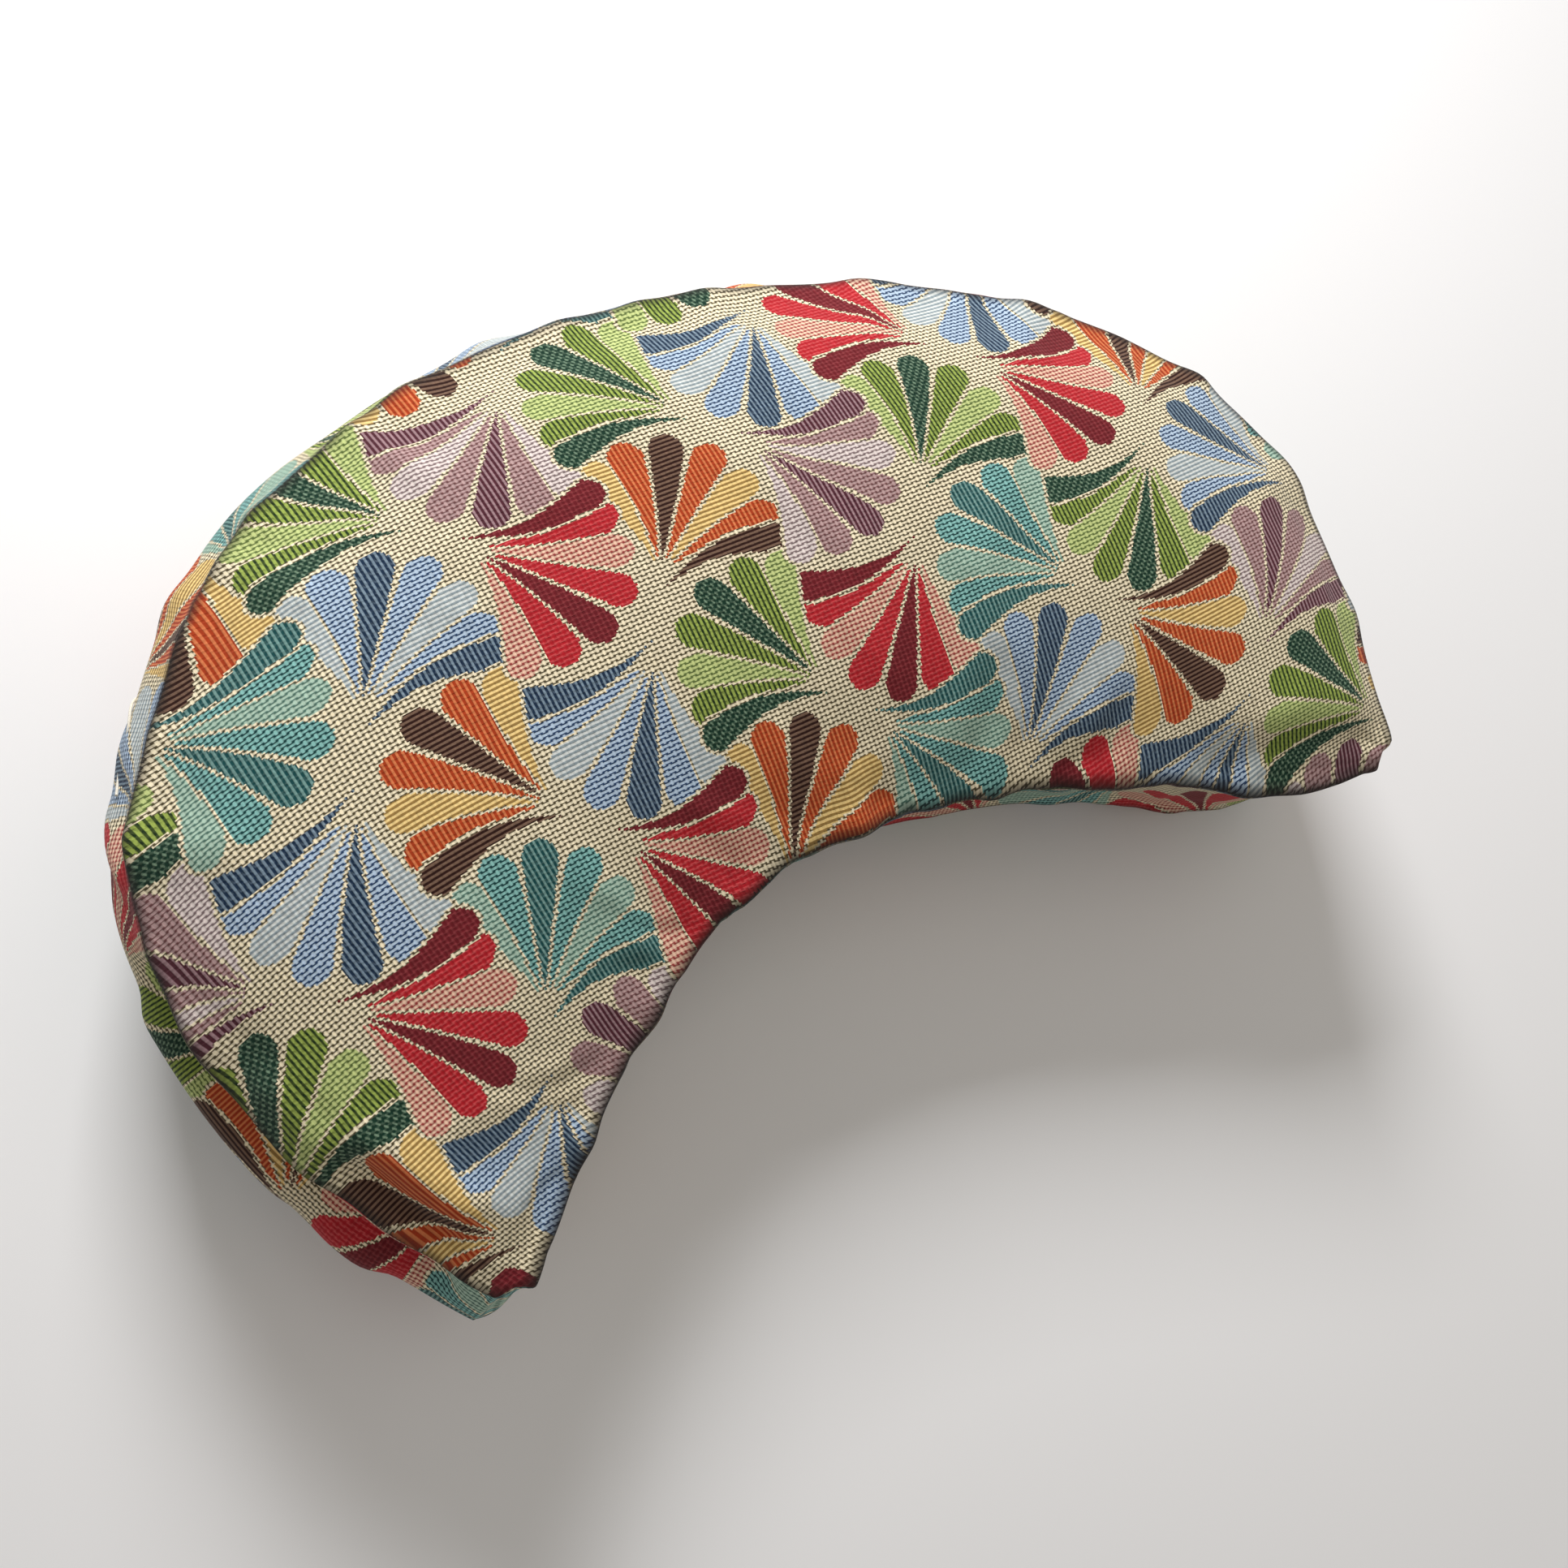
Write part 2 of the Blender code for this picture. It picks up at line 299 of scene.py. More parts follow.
# Petals of a fan, in mm and degrees: six spread from a root of their own, the first lies apart
PETALS = 6
SPREAD_ROOT = (2.6, 5.4)
PETAL_TURN = 17.2
FIRST_PETAL = 8.6
SHORT_PETAL = 46.0
LONG_PETAL = 53.4
PETAL_RADIUS = 5.7
PETAL_TAPER = 1.05
LIGHT_TAPER = 0.5
ROOT_PINCH = 0.25
OUTLINE = 0.5
HALO = 1.3
LONE_LENGTH = 42.8
LONE_RISE = 2.8
LONE_RADIUS = 5.3
LONE_BOW = 4.4
LONE_TAPER = 1.25

# Yarn colours of the ground, then of the dark, middle and light petals of each family. Columns:
# main, second, and shares of upright ribs, level ribs, dashes and slanting ribs of the second.
# The ground's dark brown second is painted shade in the gaps between its yarns; the petals'
# seconds are yarn colours.
YARNS = (
    ((0.93, 0.82, 0.58), (0.080, 0.062, 0.028), (0.28, 0.12, 0.80, 0.0)),
    ((0.008, 0.024, 0.055), (0.28, 0.38, 0.46), (0.60, 0.0, 0.0, 0.15)),
    ((0.46, 0.58, 0.71), (0.020, 0.050, 0.12), (0.1, 0.15, 0.95, 0.0)),
    ((0.66, 0.69, 0.66), (0.19, 0.25, 0.28), (0.1, 0.80, 0.0, 0.0)),
    ((0.004, 0.030, 0.016), (0.22, 0.33, 0.22), (0.0, 0.0, 0.2, 0.60)),
    ((0.31, 0.40, 0.080), (0.010, 0.028, 0.006), (0.90, 0.0, 0.0, 0.3)),
    ((0.56, 0.64, 0.25), (0.11, 0.16, 0.040), (0.2, 0.1, 0.85, 0.0)),
    ((0.006, 0.060, 0.062), (0.24, 0.42, 0.38), (0.60, 0.0, 0.1, 0.1)),
    ((0.24, 0.50, 0.46), (0.006, 0.050, 0.050), (0.25, 0.0, 1.00, 0.0)),
    ((0.44, 0.60, 0.48), (0.080, 0.17, 0.13), (0.15, 0.2, 0.80, 0.0)),
    ((0.130, 0.006, 0.011), (0.26, 0.040, 0.045), (0.3, 0.1, 0.4, 0.0)),
    ((0.40, 0.007, 0.014), (0.62, 0.080, 0.085), (0.1, 0.2, 0.5, 0.0)),
    ((0.86, 0.58, 0.42), (0.30, 0.045, 0.040), (0.35, 0.35, 0.5, 0.0)),
    ((0.026, 0.006, 0.003), (0.34, 0.21, 0.14), (0.0, 0.50, 0.0, 0.0)),
    ((0.38, 0.040, 0.007), (0.80, 0.27, 0.10), (0.65, 0.0, 0.0, 0.0)),
    ((0.88, 0.64, 0.26), (0.25, 0.13, 0.022), (0.0, 0.85, 0.0, 0.0)),
    ((0.075, 0.016, 0.026), (0.46, 0.30, 0.32), (0.65, 0.0, 0.0, 0.0)),
    ((0.48, 0.32, 0.31), (0.14, 0.055, 0.055), (0.3, 0.1, 0.7, 0.0)),
    ((0.78, 0.68, 0.64), (0.21, 0.15, 0.15), (0.15, 0.2, 0.85, 0.0)),
)


# Colour of the painted shade along the seams and of the strained gaps beside them, the width of the painted shade
# line, and the reach of the strained gaps, in mm
SEAM_SHADE_AND_GAP_COLOUR = (0.020, 0.016, 0.014, 1.0)
SEAM_SHADE_WIDTH = 4.0
SEAM_STRAIN = 1.7


# Loose thread that loops out beside the top seam, on the convex side of the left end.
# Columns: place along the crescent, place up the band, distance off the cloth in mm
LOOSE_THREAD = (
    (0.2960, 0.46, -0.6),
    (0.2925, 0.54, 0.8),
    (0.2890, 0.66, 1.8),
    (0.2840, 0.74, 2.4),
    (0.2770, 0.78, 2.4),
    (0.2700, 0.76, 1.8),
    (0.2640, 0.70, 1.2),
    (0.2580, 0.72, 0.6),
    (0.2500, 0.80, -0.4),
)
THREAD_RADIUS = 0.5 * MM


class Shading:
    """Short ways to add shader nodes to a tree."""

    def __init__(self, tree):
        self.nodes = tree.nodes
        self.links = tree.links

    def feed(self, socket, source):
        """Sets a socket to a plain value, or links another socket to it."""
        if isinstance(source, bpy.types.NodeSocket):
            self.links.new(source, socket)
        else:
            socket.default_value = source

    def calc(self, operation, *sources):
        """A Math node of this operation."""
        node = self.nodes.new("ShaderNodeMath")
        node.operation = operation
        for socket, source in zip(node.inputs, sources):
            self.feed(socket, source)
        return node.outputs[0]

    def steps(self, place, colours):
        """Picks one of evenly spaced colours for places from 0 to 1. Gives the ramp node."""
        node = self.nodes.new("ShaderNodeValToRGB")
        ramp = node.color_ramp
        ramp.interpolation = "CONSTANT"
        while len(ramp.elements) < len(colours):
            ramp.elements.new(1.0)
        for number, (element, colour) in enumerate(zip(ramp.elements, colours)):
            element.position = number / len(colours)
            element.color = (*colour, 1.0)[:4]
        self.feed(node.inputs["Fac"], place)
        return node

    def blend(self, share, first, second, kind="MIX"):
        """A mix of two colours."""
        node = self.nodes.new("ShaderNodeMix")
        node.data_type = "RGBA"
        node.blend_type = kind
        for name, source in (("Factor_Float", share), ("A_Color", first), ("B_Color", second)):
            socket = next(item for item in node.inputs if item.identifier == name)
            self.feed(socket, source)
        return next(item for item in node.outputs if item.identifier == "Result_Color")

    def noise(self, place, scale, detail):
        """Soft noise from 0 to 1."""
        node = self.nodes.new("ShaderNodeTexNoise")
        self.feed(node.inputs["Vector"], place)
        node.inputs["Scale"].default_value = scale
        node.inputs["Detail"].default_value = detail
        return node.outputs["Fac"]

    def vector(self, x, y):
        """A vector of two parts."""
        node = self.nodes.new("ShaderNodeCombineXYZ")
        self.feed(node.inputs["X"], x)
        self.feed(node.inputs["Y"], y)
        return node.outputs["Vector"]


def fan_group():
    """A fan of petals that opens from its root into the corner of positive x and y, in mm."""
    tree = bpy.data.node_groups.new("fan", "ShaderNodeTree")
    for name in ("X", "Y"):
        tree.interface.new_socket(name, in_out="INPUT", socket_type="NodeSocketFloat")
    for name in ("Inside", "Near", "Tone"):
        tree.interface.new_socket(name, in_out="OUTPUT", socket_type="NodeSocketFloat")
    start = tree.nodes.new("NodeGroupInput")
    end = tree.nodes.new("NodeGroupOutput")
    shading = Shading(tree)
    calc = shading.calc
    x = calc("SUBTRACT", start.outputs["X"], SPREAD_ROOT[0])
    y = calc("SUBTRACT", start.outputs["Y"], SPREAD_ROOT[1])
    reach = calc("SQRT", calc("ADD", calc("MULTIPLY", x, x), calc("MULTIPLY", y, y)))
    angle = calc("DEGREES", calc("ARCTAN2", y, x))
    middle = (PETALS - 1) / 2
    tip_share = calc("MINIMUM", calc("DIVIDE", reach, SHORT_PETAL), 1.0)
    turn = calc("MULTIPLY_ADD", tip_share, ROOT_PINCH * PETAL_TURN, (1.0 - ROOT_PINCH) * PETAL_TURN)
    off_middle = calc("DIVIDE", calc("SUBTRACT", angle, FIRST_PETAL + middle * PETAL_TURN), turn)
    place = calc("ADD", off_middle, middle)
    petal = calc("MINIMUM", calc("MAXIMUM", calc("ROUND", place), 0.0), float(PETALS - 1))
    arc = calc("MULTIPLY", turn, calc("MULTIPLY", reach, math.pi / 180.0))
    side = calc("MULTIPLY", calc("ABSOLUTE", calc("SUBTRACT", place, petal)), arc)
    tone = calc("ABSOLUTE", calc("SUBTRACT", calc("MODULO", calc("ADD", petal, 1.0), 4.0), 2.0))
    tone = calc("SUBTRACT", 2.0, tone)
    inner = calc("SUBTRACT", 1.0, calc("DIVIDE", calc("ABSOLUTE", calc("SUBTRACT", petal, middle)), middle))
    length = calc("MULTIPLY_ADD", inner, LONG_PETAL - SHORT_PETAL, SHORT_PETAL - PETAL_RADIUS)
    root = calc("MULTIPLY", calc("MINIMUM", tone, 1.0), 5.0)
    grown = calc("DIVIDE", calc("SUBTRACT", reach, root), calc("SUBTRACT", length, root))
    grown = calc("MINIMUM", calc("MAXIMUM", grown, 0.0), 1.0)
    light = calc("GREATER_THAN", tone, 1.5)
    taper = calc("MULTIPLY_ADD", light, LIGHT_TAPER - PETAL_TAPER, PETAL_TAPER)
    width = calc("MULTIPLY", calc("POWER", grown, taper), PETAL_RADIUS)
    width = calc("MINIMUM", width, calc("MULTIPLY_ADD", arc, 0.5, -OUTLINE))
    past = calc("MAXIMUM", calc("SUBTRACT", reach, length), 0.0)
    away = calc("SQRT", calc("ADD", calc("MULTIPLY", past, past), calc("MULTIPLY", side, side)))
    spread = calc("LESS_THAN", away, width)
    spread_near = calc("LESS_THAN", away, calc("ADD", width, HALO))
    run = calc("DIVIDE", start.outputs["X"], LONE_LENGTH)
    run = calc("MINIMUM", calc("MAXIMUM", run, 0.0), 1.0)
    bow = calc("MULTIPLY", calc("SINE", calc("MULTIPLY", run, math.pi)), LONE_BOW)
    bow = calc("MULTIPLY_ADD", run, LONE_RISE, bow)
    side = calc("SUBTRACT", start.outputs["Y"], bow)
    past = calc("MAXIMUM", calc("SUBTRACT", start.outputs["X"], LONE_LENGTH), 0.0)
    away = calc("SQRT", calc("ADD", calc("MULTIPLY", past, past), calc("MULTIPLY", side, side)))
    width = calc("MULTIPLY", calc("POWER", run, LONE_TAPER), LONE_RADIUS)
    lone = calc("LESS_THAN", away, width)
    lone_near = calc("LESS_THAN", away, calc("ADD", width, HALO))
    lone_near = calc("MULTIPLY", lone_near, calc("GREATER_THAN", start.outputs["X"], -OUTLINE))
    spread = calc("MULTIPLY", spread, calc("SUBTRACT", 1.0, calc("SUBTRACT", lone_near, lone)))
    shading.feed(end.inputs["Inside"], calc("MAXIMUM", spread, lone))
    shading.feed(end.inputs["Near"], calc("MAXIMUM", spread_near, lone_near))
    shading.feed(end.inputs["Tone"], calc("MULTIPLY", tone, calc("SUBTRACT", 1.0, lone)))
    return tree


def ribs(shading, count, gap):
    """Lines between yarns, 1 in the gap and 0 on the yarn, from a running count of yarns."""
    wave = shading.calc("PINGPONG", count, 0.5)
    line = shading.calc("MULTIPLY_ADD", wave, GAP_SHARPNESS, 0.5 - GAP_SHARPNESS * 0.5 * (1.0 - gap))
    return shading.calc("MINIMUM", shading.calc("MAXIMUM", line, 0.0), 1.0)


def fan_code(shading, across, along):
    """0 on the ground, and 1 to 18 on the petals of the six families."""
    calc = shading.calc
    group = fan_group()
    code = 0.0
    for root_across, root_along, open_across, open_along, chart in FANS:
        from_across = calc("SUBTRACT", across, root_across)
        from_along = calc("SUBTRACT", along, root_along)
        column = calc("FLOOR", calc("ADD", from_across, 0.5 - 0.24 * open_across))
        row = calc("FLOOR", calc("ADD", from_along, 0.5 - 0.24 * open_along))
        fan = shading.nodes.new("ShaderNodeGroup")
        fan.node_tree = group
        x = calc("MULTIPLY", calc("SUBTRACT", from_across, column), REPEAT_ACROSS * open_across)
        y = calc("MULTIPLY", calc("SUBTRACT", from_along, row), REPEAT_ALONG * open_along)
        shading.feed(fan.inputs["X"], x)
        shading.feed(fan.inputs["Y"], y)
        wide = len(chart[0])
        count = wide * len(chart)
        cell = calc("ADD", calc("MULTIPLY", calc("WRAP", row, float(len(chart)), 0.0), float(wide)),
                    calc("WRAP", column, float(wide), 0.0))
        shares = [(FAMILIES.index(letter) / len(FAMILIES),) * 3 for line in chart for letter in line]
        family = shading.steps(calc("DIVIDE", calc("ADD", cell, 0.5), float(count)), shares)
        tone = calc("ADD", fan.outputs["Tone"], 1.0)
        number = calc("MULTIPLY_ADD", calc("ROUND", calc("MULTIPLY", family.outputs["Color"], 6.0)), 3.0, tone)
        change = calc("SUBTRACT", calc("MULTIPLY", fan.outputs["Inside"], number), code)
        code = calc("MULTIPLY_ADD", fan.outputs["Near"], change, code)
    return code


def seam_shade_and_gaps(shading):
    """1 in the painted shade along the seam and in the gaps that strain opens beside it, and 0 off it."""
    calc = shading.calc
    seam = shading.nodes.new("ShaderNodeUVMap")
    seam.uv_map = "seam"
    split = shading.nodes.new("ShaderNodeSeparateXYZ")
    shading.feed(split.inputs[0], seam.outputs["UV"])
    run = split.outputs["X"]
    away = split.outputs["Y"]
    # Painted shade: a dark line at the seam that fades out away from it, standing in for the shade in the seam groove
    line = calc("SUBTRACT", 1.0, calc("DIVIDE", away, SEAM_SHADE_WIDTH))
    patches = shading.noise(shading.vector(calc("MULTIPLY", run, 0.06), 0.0), 1.0, 1.0)
    strain = calc("MULTIPLY", calc("SUBTRACT", patches, 0.45), 8.0)
    strain = calc("MINIMUM", calc("MAXIMUM", strain, 0.0), 1.0)
    close = calc("MINIMUM", calc("SUBTRACT", 1.6, calc("DIVIDE", away, SEAM_STRAIN)), 1.0)
    gaps = calc("MULTIPLY", calc("MULTIPLY", ribs(shading, run, 0.35), strain), calc("MAXIMUM", close, 0.0))
    return calc("MAXIMUM", calc("MAXIMUM", line, gaps), 0.0)


def cloth_look():
    """Jacquard cloth: coloured fans on a cream ground, with the yarns that show in each, painted shade in the gaps
    between the ground's yarns, and painted shade along the seams.
    """
    material = bpy.data.materials.new("tapestry_cloth_look")
    material.use_nodes = True
    shading = Shading(material.node_tree)
    calc = shading.calc
    lie = shading.nodes.new("ShaderNodeUVMap")
    lie.uv_map = "lie"
    split = shading.nodes.new("ShaderNodeSeparateXYZ")
    shading.feed(split.inputs[0], lie.outputs["UV"])
    across = calc("MULTIPLY", split.outputs["X"], float(YARNS_ACROSS))
    along = calc("MULTIPLY", split.outputs["Y"], float(YARNS_ALONG))
    stepped_across = calc("DIVIDE", calc("ADD", calc("FLOOR", calc("MULTIPLY", across, 2.0)), 0.5),
                          2.0 * YARNS_ACROSS)
    stepped_along = calc("DIVIDE", calc("ADD", calc("FLOOR", calc("MULTIPLY", along, 2.0)), 0.5),
                         2.0 * YARNS_ALONG)
    code = fan_code(shading, stepped_across, stepped_along)
    place = calc("DIVIDE", calc("ADD", code, 0.5), float(len(YARNS)))
    main = shading.steps(place, [row[0] for row in YARNS]).outputs["Color"]
    second = shading.steps(place, [row[1] for row in YARNS]).outputs["Color"]
    shares = shading.steps(place, [row[2] for row in YARNS])
    split_shares = shading.nodes.new("ShaderNodeSeparateColor")
    shading.feed(split_shares.inputs[0], shares.outputs["Color"])
    upright = ribs(shading, across, 0.45)
    level = ribs(shading, along, 0.5)
    row = calc("FLOOR", calc("ADD", along, 0.5))
    brick = calc("MULTIPLY_ADD", row, 0.5, calc("MULTIPLY", across, 0.5))
    dash = calc("MULTIPLY", level, ribs(shading, brick, 0.72))
    slant = calc("MULTIPLY", ribs(shading, calc("ADD", across, calc("MULTIPLY", along, 0.5)), 0.4),
                 ribs(shading, calc("MULTIPLY", calc("SUBTRACT", along, across), 0.5), 0.6))
    share = calc("MULTIPLY", split_shares.outputs["Red"], upright)
    share = calc("MULTIPLY_ADD", split_shares.outputs["Green"], level, share)
    share = calc("MULTIPLY_ADD", split_shares.outputs["Blue"], dash, share)
    share = calc("MINIMUM", calc("MULTIPLY_ADD", shares.outputs["Alpha"], slant, share), 1.0)
    # The second colour fills the gaps and dashes between yarns: on the ground it is painted shade, on the petals a
    # yarn colour
    colour = shading.blend(share, main, second)
    fibres = shading.noise(shading.vector(across, calc("MULTIPLY", along, 0.25)), 1.3, 2.0)
    shade = calc("MULTIPLY_ADD", fibres, 0.6, 0.7)
    tint = shading.nodes.new("ShaderNodeCombineColor")
    for socket in tint.inputs[:3]:
        shading.feed(socket, shade)
    colour = shading.blend(1.0, colour, tint.outputs[0], "MULTIPLY")
    # Painted shade along the seams, and the dark of the strained gaps beside them, darken the cloth colour here
    colour = shading.blend(seam_shade_and_gaps(shading), colour, SEAM_SHADE_AND_GAP_COLOUR)
    shader = shading.nodes["Principled BSDF"]
    shading.feed(shader.inputs["Base Color"], colour)
    shader.inputs["Roughness"].default_value = 0.88
    shader.inputs["Sheen Weight"].default_value = 0.06
    shader.inputs["Sheen Roughness"].default_value = 0.5
    shader.inputs["Specular IOR Level"].default_value = 0.2
    height = calc("SUBTRACT", 1.0, calc("MAXIMUM", calc("MULTIPLY", upright, 0.4), dash))
    bump = shading.nodes.new("ShaderNodeBump")
    bump.inputs["Strength"].default_value = 0.6
    bump.inputs["Distance"].default_value = 0.4 * MM
    shading.feed(bump.inputs["Height"], height)
    shading.feed(shader.inputs["Normal"], bump.outputs["Normal"])
    return material


def lie_on_panel(points):
    """Where the cloth's repeat lies on a panel, from plan positions."""
    x, y = points[:, 0] / CLOTH_SPAN, points[:, 1] / CLOTH_SPAN
    terms = np.stack((np.ones_like(x), x, y, x * x, x * y, y * y, x**3, x * x * y, x * y * y, y**3))
    return np.stack((LIE_ACROSS @ terms, LIE_ALONG @ terms), axis=1)


def run_lengths(along, side):
    """Length of the band from the left heel to each place along the crescent."""
    steps = np.linspace(0.0, 1.0, 400)
    line = filled_points(steps, np.full_like(steps, side), np.full_like(steps, 0.5))[:, :2]
    lengths = np.concatenate(((0.0,), np.cumsum(np.linalg.norm(np.diff(line, axis=0), axis=1))))
    return np.interp(along, steps, lengths)


def lie_map(mesh, places, points, quads, sides):
    """A UV map of how the cloth lies on each panel and round the band, in repeats."""
    along, across, up = places.T
    panel = lie_on_panel(points)
    height = points[:, 2] / MM / REPEAT_ALONG
    heel = ease_to_ends(across) * panel_width(along) / MM / REPEAT_ACROSS
    back = run_lengths(along, 0.0) / MM / REPEAT_ACROSS + BACK_LIE[0]
    bay = BAY_LIE[0] - run_lengths(along, 1.0) / MM / REPEAT_ACROSS
    low = BACK_LIE[1] - height
    by_side = {
        "top": panel,
        "under": panel * np.array((1.0, -1.0)) + np.array((0.3, 0.6)),
        "back": np.stack((back, low), axis=1),
        "bay": np.stack((bay, BAY_LIE[1] - height), axis=1),
        "left_heel": np.stack((back - heel, low), axis=1),
        "right_heel": np.stack((back + heel, low), axis=1),
    }
    values = np.zeros((len(quads), 4, 2))
    for side, lie in by_side.items():
        chosen = sides == side
        values[chosen] = lie[quads[chosen]]
    mesh.uv_layers.new(name="lie").data.foreach_set("uv", values.ravel())


def seam_map(mesh, along, quads, away, on_bay):
    """A UV map of the run along the nearest seam, in yarns, and of the distance from it in mm."""
    yarn = REPEAT_ACROSS / YARNS_ACROSS * MM
    run = np.where(on_bay, run_lengths(along, 1.0), run_lengths(along, 0.0)) / yarn
    values = np.stack((run, away / MM), axis=1)[quads]
    mesh.uv_layers.new(name="seam").data.foreach_set("uv", values.ravel())


def bell(distance, half_width):
    """A soft bump of height 1 that has faded out at about twice its half width."""
    return np.exp(-((distance / half_width) ** 2))


def ease_to_ends(value):
    """Moves values between 0 and 1 a little towards the nearer end, where the seams are."""
    return value - 0.6 * np.sin(2.0 * math.pi * value) / (2.0 * math.pi)


def case_grid():
    """Points and quads of the surface of a divided box, and the side that each quad is on."""
    counts = np.array((FACES_ALONG, FACES_ACROSS, FACES_UP))
    cells = np.stack(np.meshgrid(*(np.arange(count + 1) for count in counts), indexing="ij"), axis=-1)
    shell = ((cells == 0) | (cells == counts)).any(axis=-1)
    number = np.full(shell.shape, -1)
    number[shell] = np.arange(shell.sum())
    places = cells[shell] / counts
    quads = []
    sides = []
    for side, (axis, end) in SIDES.items():
        layer = np.take(number, -end, axis=axis)
        corners = np.stack((layer[:-1, :-1], layer[1:, :-1], layer[1:, 1:], layer[:-1, 1:]), axis=-1)
        if end == (axis == 1):
            corners = corners[..., ::-1]
        quads.append(corners.reshape(-1, 4))
        sides += [side] * len(quads[-1])
    return places, np.concatenate(quads), np.array(sides)


def distance_to_run(points, start, end):
    """Distances from points to the straight run between two others."""
    run = end - start
    part = np.clip((points - start) @ run / (run @ run), 0.0, 1.0)
    return np.linalg.norm(points - start - part[:, None] * run, axis=1)


def seam_lines():
    """Points of the four seam lines, and how deep their puckers are there."""
    along = np.linspace(0.0, 1.0, 3 * FACES_ALONG)
    whole = np.ones_like(along)
    points = []
    depths = []
    for across, puckers in ((0.0, BACK_PUCKERS), (1.0, BAY_PUCKERS)):
        rows = np.array(puckers)
        centres = filled_points(rows[:, 0], across * np.ones(len(rows)), np.ones(len(rows)))[:, :2]
        for up, height in ((0.0, BOTTOM_SEAM_HEIGHT), (1.0, TOP_SEAM_HEIGHT)):
            line = filled_points(along, across * whole, up * whole)
            line[:, 2] = height
            away = np.linalg.norm(line[:, None, :2] - centres[None], axis=2)
            points.append(line)
            depths.append((rows[:, 2] * MM * bell(away, rows[:, 1] * MM)).sum(axis=1))
    return np.concatenate(points), np.concatenate(depths)


def nearest_seam(points, line):
    """Distances from points to the seam lines, and the nearest point of those lines."""
    nearest = np.empty(len(points), dtype=int)
    away = np.empty(len(points))
    for first in range(0, len(points), 2000):
        some = slice(first, first + 2000)
        gaps = np.linalg.norm(points[some, None] - line[None], axis=2)
        nearest[some] = gaps.argmin(axis=1)
        away[some] = gaps.min(axis=1)
    return away, nearest


def panel_fold_rise(points):
    """How far the folds raise points of the top panel."""
    rise = np.zeros(len(points))
    for row in np.array(PANEL_FOLDS) * MM:
        away = distance_to_run(points[:, :2], row[0:2] + SECTION_SHIFT, row[2:4] + SECTION_SHIFT)
        rise += row[5] * bell(away, row[4])
    return rise


def band_fold_rise(points):
    """How far the folds raise points of the band."""
    rise = np.zeros(len(points))
    part = np.linspace(0.0, 1.0, 7)
    for side, start_along, start_up, end_along, end_up, half_width, height in BAND_FOLDS:
        along = start_along + (end_along - start_along) * part
        up = start_up + (end_up - start_up) * part
        chain = filled_points(along, np.full_like(part, side), up)
        away = np.min([distance_to_run(points, *ends) for ends in zip(chain, chain[1:])], axis=0)
        rise += height * MM * bell(away, half_width * MM)
    return rise


def spread_out(values, pairs, rounds):
    """Averages values over neighbouring points, again and again."""
    count = len(values)
    ends = np.concatenate((pairs, pairs[:, ::-1]))
    shares = np.bincount(ends[:, 0], minlength=count)[:, None]
    for _ in range(rounds):
        sums = np.stack([np.bincount(ends[:, 0], column[ends[:, 1]], count) for column in values.T], axis=1)
        values = 0.5 * values + 0.5 * sums / shares
    return values


def cloth_wrinkles(mesh, seam_pull):
    """Moves of the points when the cover is blown up against its shorter seams, without the swelling."""
    count = len(mesh.vertices)
    start = np.empty(count * 3)
    mesh.vertices.foreach_get("co", start)
    start = start.reshape(-1, 3)
    piece = bpy.data.objects.new("trial", mesh.copy())
    bpy.context.scene.collection.objects.link(piece)
    held = piece.vertex_groups.new(name="held")
    held.add(np.flatnonzero(start[:, 2] < FLAT_HEIGHT).tolist(), 1.0, "REPLACE")
    pulled = piece.vertex_groups.new(name="pulled")
    for index, weight in enumerate(seam_pull.tolist()):
        pulled.add((index,), weight, "REPLACE")
    cloth = piece.modifiers.new("cloth", "CLOTH")
    settings = cloth.settings
    settings.quality = 6
    settings.mass = 0.4
    settings.tension_stiffness = 30.0
    settings.compression_stiffness = 30.0
    settings.shear_stiffness = 12.0
    settings.bending_stiffness = 3.0
    settings.use_pressure = True
    settings.uniform_pressure_force = CLOTH_PRESSURE
    settings.vertex_group_mass = "held"
    settings.vertex_group_shrink = "pulled"
    settings.shrink_min = -CLOTH_SLACK
    settings.shrink_max = SEAM_SHRINK
    settings.effector_weights.gravity = 0.0
    cloth.point_cache.frame_start = 1
    cloth.point_cache.frame_end = CLOTH_FRAMES
    for frame in range(1, CLOTH_FRAMES + 1):
        bpy.context.scene.frame_set(frame)
    shaped = piece.evaluated_get(bpy.context.evaluated_depsgraph_get()).to_mesh()
    settled = np.empty(count * 3)
    shaped.vertices.foreach_get("co", settled)
    bpy.context.scene.frame_set(1)
    bpy.data.objects.remove(piece)
    pairs = np.empty(len(mesh.edges) * 2, dtype=int)
    mesh.edges.foreach_get("vertices", pairs)
    pairs = pairs.reshape(-1, 2)
    moves = settled.reshape(-1, 3) - start
    moves = moves - spread_out(moves, pairs, SWELL_ROUNDS)
    sizes = np.linalg.norm(moves, axis=1)
    print("cloth moves in mm: mean", round(float(sizes.mean() / MM), 2), "largest", round(float(sizes.max() / MM), 2))
    keep = CLOTH_CAP / (CLOTH_CAP + sizes)
    return moves * keep[:, None] * smooth_step(start[:, 2] / BOTTOM_SEAM_HEIGHT)[:, None]


def point_normals(mesh):
    """Normals at the points of a mesh."""
    normals = np.empty(len(mesh.vertices) * 3, dtype=np.float32)
    mesh.vertex_normals.foreach_get("vector", normals)
    return normals.reshape(-1, 3).astype(float)


